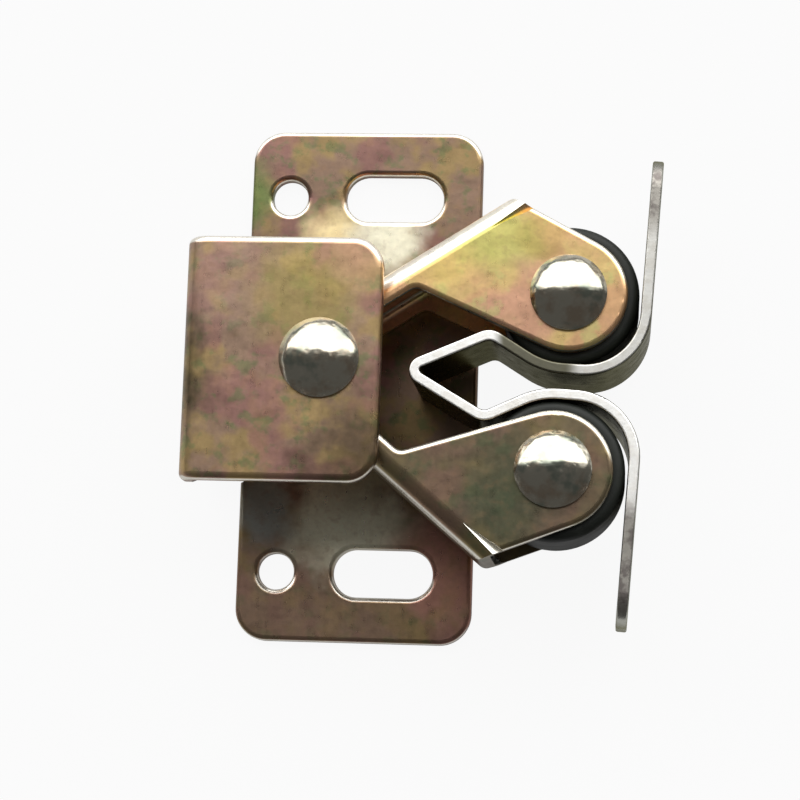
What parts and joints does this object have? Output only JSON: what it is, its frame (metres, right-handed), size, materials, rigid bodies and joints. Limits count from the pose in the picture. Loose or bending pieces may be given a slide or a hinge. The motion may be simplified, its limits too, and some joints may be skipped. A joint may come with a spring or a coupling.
{
  "type": "double roller catch",
  "caption": "Sprung double roller catch: a folded steel housing with two roller-tipped jaws on one rivet, holding a folded arrow strike between the rollers.",
  "frame": {"origin": "middle of the base plate's back face", "axes": "+Z out of the mounting surface, +X from the housing towards the strike, +Y along the base plate"},
  "size_m": [0.0429, 0.049, 0.0174],
  "materials": {
    "housing_steel": "satin yellow chromate over zinc",
    "jaw_steel": "satin yellow chromate over zinc",
    "rivet_steel": "bright, faintly yellow zinc",
    "spring_steel": "drawn wire",
    "roller_plastic": "satin black, moulded",
    "strike_steel": "bright zinc"
  },
  "bodies": {
    "base": {"housing": "housing_steel", "pivot_rivet": "rivet_steel"},
    "pair": {"torsion_spring": "spring_steel"},
    "strike_body": {"strike": "strike_steel"},
    "upper_arm": {"upper_jaw": "jaw_steel", "upper_roller_rivet": "rivet_steel"},
    "lower_arm": {"lower_jaw": "jaw_steel", "lower_roller_rivet": "rivet_steel"},
    "upper_wheel": {"upper_roller": "roller_plastic"},
    "lower_wheel": {"lower_roller": "roller_plastic"}
  },
  "joints": [
    {"name": "pair_swing", "type": "hinge", "parent": "base", "child": "pair", "pos_m": [-0.0022, 0, 0.00775], "axis": [0, 0, 1], "range_deg": [-2.4, 9.6]},
    {"name": "strike_pull", "type": "slide", "parent": "pair", "child": "strike_body", "axis": [0.998, -0.0628, 0], "range_m": [0, 0.0036]},
    {"name": "upper_jaw_turn", "type": "hinge", "parent": "pair", "child": "upper_arm", "pos_m": [-0.0022, 0, 0.00775], "axis": [0, 0, 1], "range_deg": [0, 6.6], "stiffness_Nm_per_rad": 0.1, "springref_deg": -57.3, "deforming": ["torsion_spring"]},
    {"name": "lower_jaw_turn", "type": "hinge", "parent": "pair", "child": "lower_arm", "pos_m": [-0.0022, 0, 0.00775], "axis": [0, 0, 1], "range_deg": [-6.6, 0], "stiffness_Nm_per_rad": 0.1, "springref_deg": 57.3},
    {"name": "upper_roller_spin", "type": "hinge", "parent": "upper_arm", "child": "upper_wheel", "pos_m": [0.01981, 0.00669, 0.0072], "axis": [0, 0, 1], "continuous": true},
    {"name": "lower_roller_spin", "type": "hinge", "parent": "lower_arm", "child": "lower_wheel", "pos_m": [0.0188, -0.00939, 0.0083], "axis": [0, 0, 1], "continuous": true}
  ],
  "couplings": [
    {"joint": "upper_jaw_turn", "follows": "strike_pull", "rad_per_m": 31.9},
    {"joint": "lower_jaw_turn", "follows": "strike_pull", "rad_per_m": -31.9}
  ]
}
